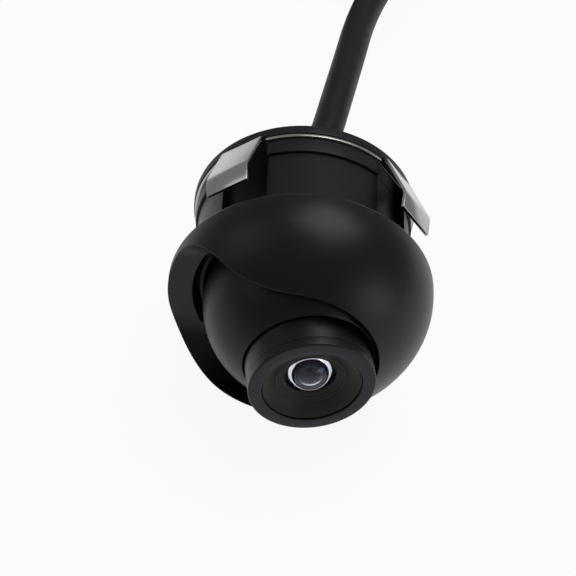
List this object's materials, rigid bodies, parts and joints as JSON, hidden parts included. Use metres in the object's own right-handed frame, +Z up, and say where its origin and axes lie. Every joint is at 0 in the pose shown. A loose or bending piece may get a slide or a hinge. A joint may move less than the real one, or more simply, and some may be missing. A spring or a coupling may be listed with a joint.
{
  "type": "reversing camera",
  "caption": "Clip-in reversing camera with a swivelling dome, a tilting lens ball, spring legs that hold it in a panel hole, and a cable with a round plug.",
  "frame": {"origin": "middle of the camera's footprint without its cable, at the lowest point of the dome's rim", "axes": "+Y backwards along the body axis, the way the cable leaves; the lens looks towards -Y; +Z up"},
  "size_m": [0.0374, 0.1523, 0.028],
  "materials": {
    "dome_plastic": "satin",
    "ball_plastic": "satin",
    "barrel_plastic": "satin",
    "retainer_plastic": "semi-gloss",
    "neck_plastic": "satin",
    "ring_plastic": "moulded",
    "lens_glass": "coated",
    "filter_glass": "polished",
    "tube_plastic": "matt",
    "board_laminate": "solder mask",
    "chip_resin": "moulded",
    "socket_plastic": "moulded",
    "pin_steel": "ground",
    "screw_steel": "plain",
    "spring_steel": "satin",
    "seal_rubber": "moulded",
    "wire_jacket": "matt",
    "cable_jacket": "matt",
    "tie_nylon": "moulded",
    "plug_plastic": "moulded",
    "contact_brass": "plated"
  },
  "bodies": {
    "mount_body": {"neck_housing": "neck_plastic", "rear_housing": "neck_plastic", "clip_plate": "spring_steel", "rear_cap": "neck_plastic", "cap_screw_1": "screw_steel", "cap_screw_2": "screw_steel", "cap_screw_3": "screw_steel", "cap_screw_4": "screw_steel", "cap_seal": "seal_rubber", "strain_relief": "seal_rubber", "wire_loop": "wire_jacket", "cable_lead": "cable_jacket", "cable_hank": "cable_jacket", "cable_tail": "cable_jacket", "cable_tie": "tie_nylon", "connector_body": "plug_plastic", "connector_shell": "plug_plastic", "connector_insert": "plug_plastic", "connector_pin_1": "contact_brass", "connector_pin_2": "contact_brass", "connector_pin_3": "contact_brass", "connector_pin_4": "contact_brass"},
    "swivel_dome": {"dome_housing": "dome_plastic", "swivel_ring": "ring_plastic"},
    "lens_ball": {"ball_front": "ball_plastic", "ball_rear": "ball_plastic", "ball_seal": "seal_rubber", "pivot_pin_upper": "pin_steel", "pivot_pin_lower": "pin_steel", "lens_barrel": "barrel_plastic", "lens_ring": "barrel_plastic", "lens_retainer": "retainer_plastic", "front_element": "lens_glass", "lens_tube": "tube_plastic", "spacer_ring": "tube_plastic", "middle_element": "lens_glass", "aperture_stop": "tube_plastic", "rear_element": "lens_glass", "ir_filter": "filter_glass", "lens_holder": "tube_plastic", "image_sensor": "chip_resin", "sensor_board": "board_laminate", "board_screw_1": "screw_steel", "board_screw_2": "screw_steel", "video_chip": "chip_resin", "crystal": "pin_steel", "filter_capacitor": "pin_steel", "wire_socket": "socket_plastic", "wire_tail": "wire_jacket"},
    "clip_leg_1": {"clip_leg_1": "spring_steel"},
    "clip_leg_2": {"clip_leg_2": "spring_steel"},
    "clip_leg_3": {"clip_leg_3": "spring_steel"},
    "clip_leg_4": {"clip_leg_4": "spring_steel"}
  },
  "joints": [
    {"name": "dome_swivel", "type": "hinge", "parent": "mount_body", "child": "swivel_dome", "pos_m": [0, -0.00253, 0.014], "axis": [0, 1, 0], "range_deg": [-180, 180]},
    {"name": "lens_tilt", "type": "hinge", "parent": "swivel_dome", "child": "lens_ball", "pos_m": [0, -0.00403, 0.014], "axis": [0, 0, -1], "range_deg": [-3, 58]},
    {"name": "clip_leg_1_flex", "type": "hinge", "parent": "mount_body", "child": "clip_leg_1", "pos_m": [0.009, 0.00947, 0.02116], "axis": [0.6225, 0, -0.7826], "range_deg": [0, 18], "stiffness_Nm_per_rad": 0.25},
    {"name": "clip_leg_2_flex", "type": "hinge", "parent": "mount_body", "child": "clip_leg_2", "pos_m": [-0.00716, 0.00947, 0.023], "axis": [0.7826, 0, 0.6225], "range_deg": [0, 18], "stiffness_Nm_per_rad": 0.25},
    {"name": "clip_leg_3_flex", "type": "hinge", "parent": "mount_body", "child": "clip_leg_3", "pos_m": [-0.009, 0.00947, 0.00684], "axis": [-0.6225, 0, 0.7826], "range_deg": [0, 18], "stiffness_Nm_per_rad": 0.25},
    {"name": "clip_leg_4_flex", "type": "hinge", "parent": "mount_body", "child": "clip_leg_4", "pos_m": [0.00716, 0.00947, 0.005], "axis": [-0.7826, 0, -0.6225], "range_deg": [0, 18], "stiffness_Nm_per_rad": 0.25}
  ]
}
